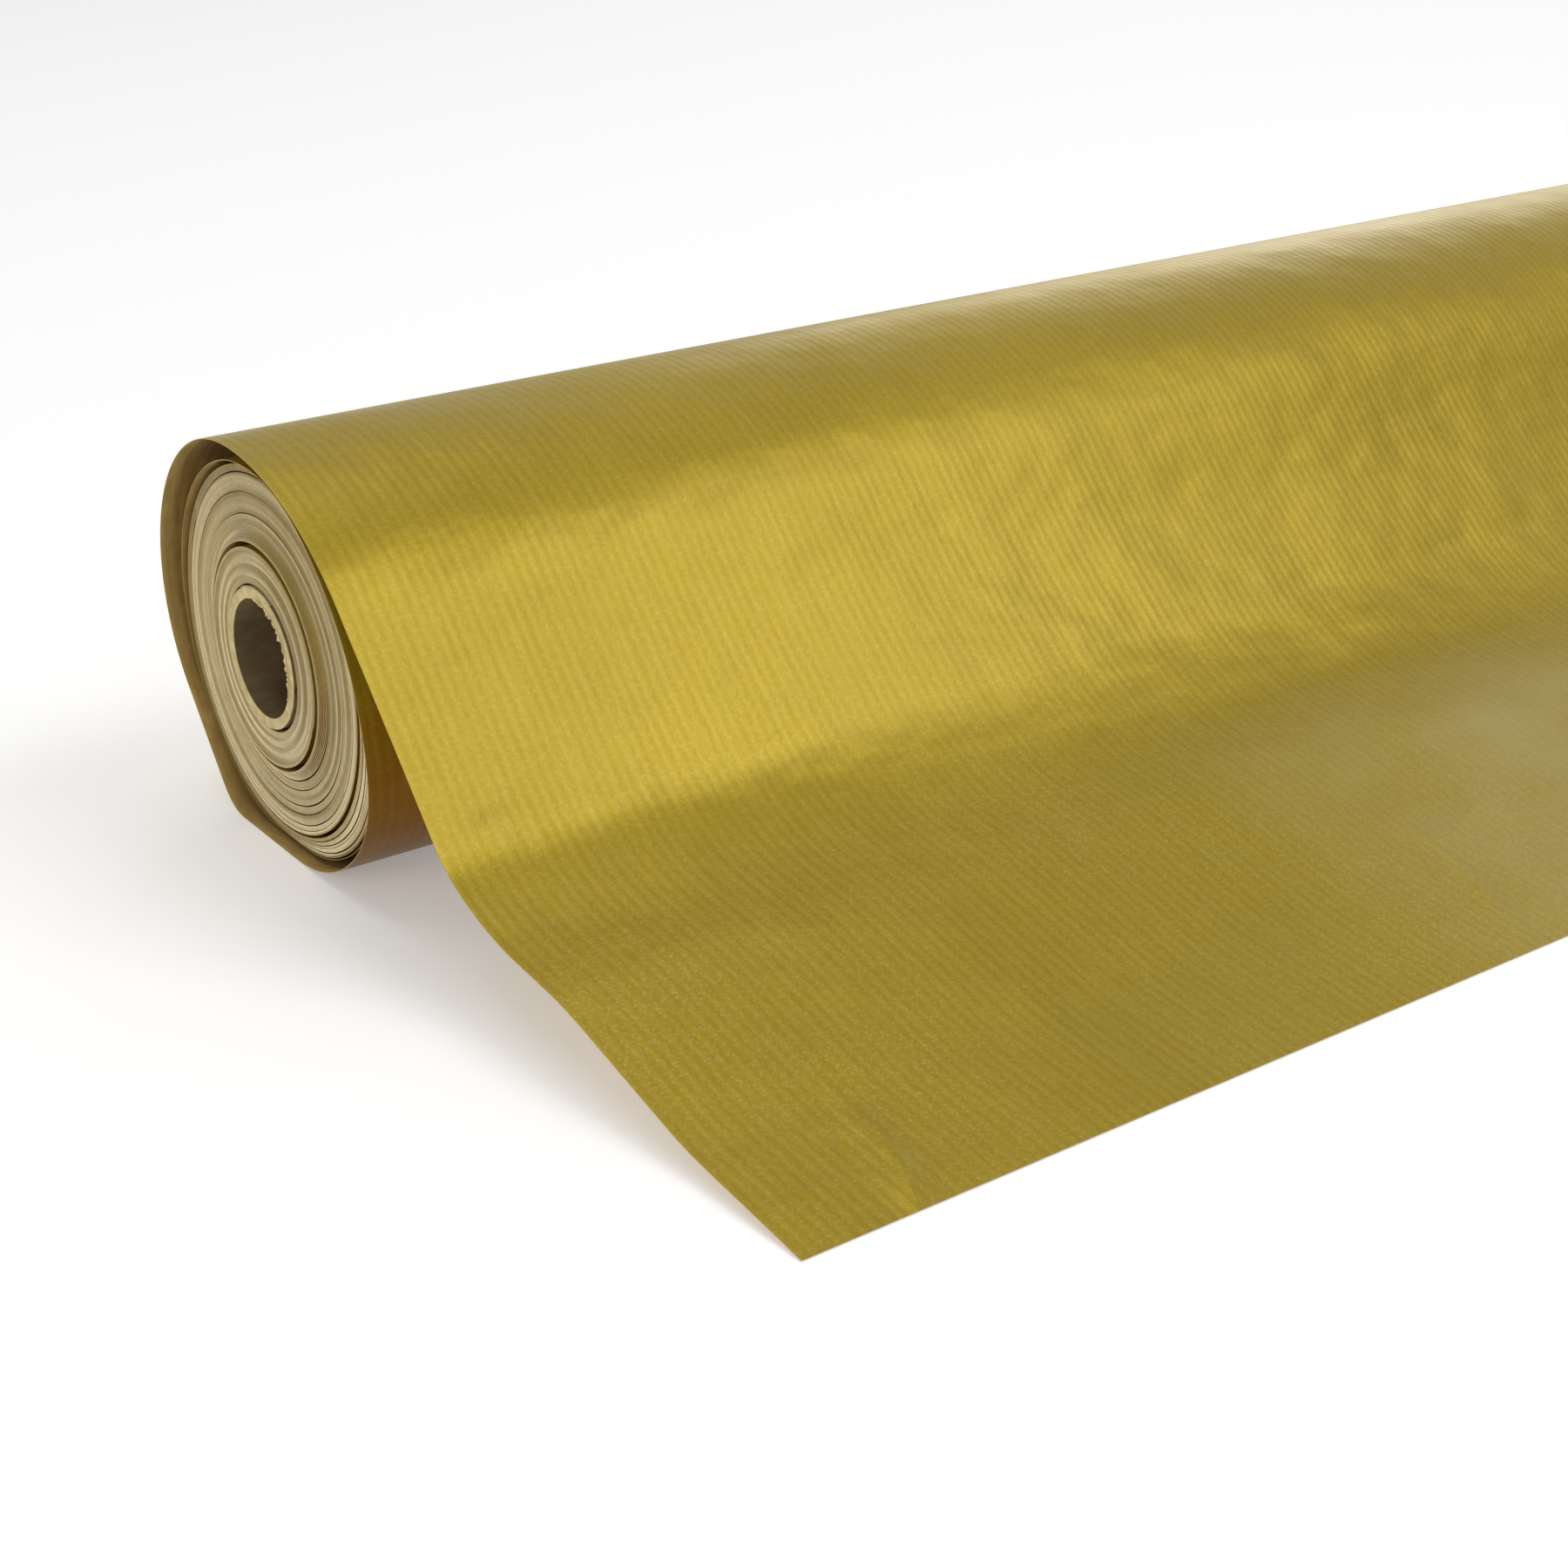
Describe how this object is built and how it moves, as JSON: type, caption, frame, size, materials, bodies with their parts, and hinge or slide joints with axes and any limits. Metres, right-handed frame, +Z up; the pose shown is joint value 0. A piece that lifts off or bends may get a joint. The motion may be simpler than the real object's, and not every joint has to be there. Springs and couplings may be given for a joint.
{
  "type": "wrapping paper roll",
  "caption": "Counter roll of ribbed gold kraft wrapping paper on a cardboard core, its free end draped to the table.",
  "frame": {"origin": "on the axis of the core's bore, at mid-length", "axes": "+X along the roll from the end seen in the picture, +Y to the back of the roll, -Y the way the sheet runs out, +Z up"},
  "size_m": [0.7025, 0.2075, 0.0754],
  "materials": {
    "core_board": "matt grey-brown spiral-wound board, rough cut edge",
    "tape": "thin double-sided tissue tape",
    "wound_edges": "stacked cut edges of pale kraft paper with gold face",
    "gold_paper": "satin gold printed kraft paper, fine ribs along the web"
  },
  "bodies": {
    "loose_web": {"outer_turn": "gold_paper", "second_turn": "gold_paper", "loose_windings": "wound_edges", "draped_sheet": "gold_paper"},
    "pack": {"middle_windings": "wound_edges", "outer_windings": "wound_edges"},
    "core": {"core_inner_ply": "core_board", "core_middle_ply": "core_board", "core_outer_ply": "core_board", "start_tape": "tape", "inner_windings": "wound_edges"},
    "run": {"sheet_run": "gold_paper"},
    "front_edge": {"sheet_end": "gold_paper"}
  },
  "joints": [
    {"name": "roll_turn", "type": "hinge", "parent": "loose_web", "child": "pack", "pos_m": [0, 0, 0], "axis": [1, 0, 0], "range_deg": [0, 360]},
    {"name": "core_telescope", "type": "slide", "parent": "pack", "child": "core", "axis": [-1, 0, 0], "range_m": [-0.03, 0.03]},
    {"name": "sheet_lift", "type": "hinge", "parent": "loose_web", "child": "run", "pos_m": [0, -0.07233, -0.01833], "axis": [-1, 0, 0], "range_deg": [0, 80]},
    {"name": "sheet_feed", "type": "slide", "parent": "run", "child": "front_edge", "axis": [0, -1, 0], "range_m": [0, 0.2212]}
  ],
  "couplings": [
    {"joint": "sheet_feed", "follows": "roll_turn", "m_per_rad": 0.0352}
  ]
}
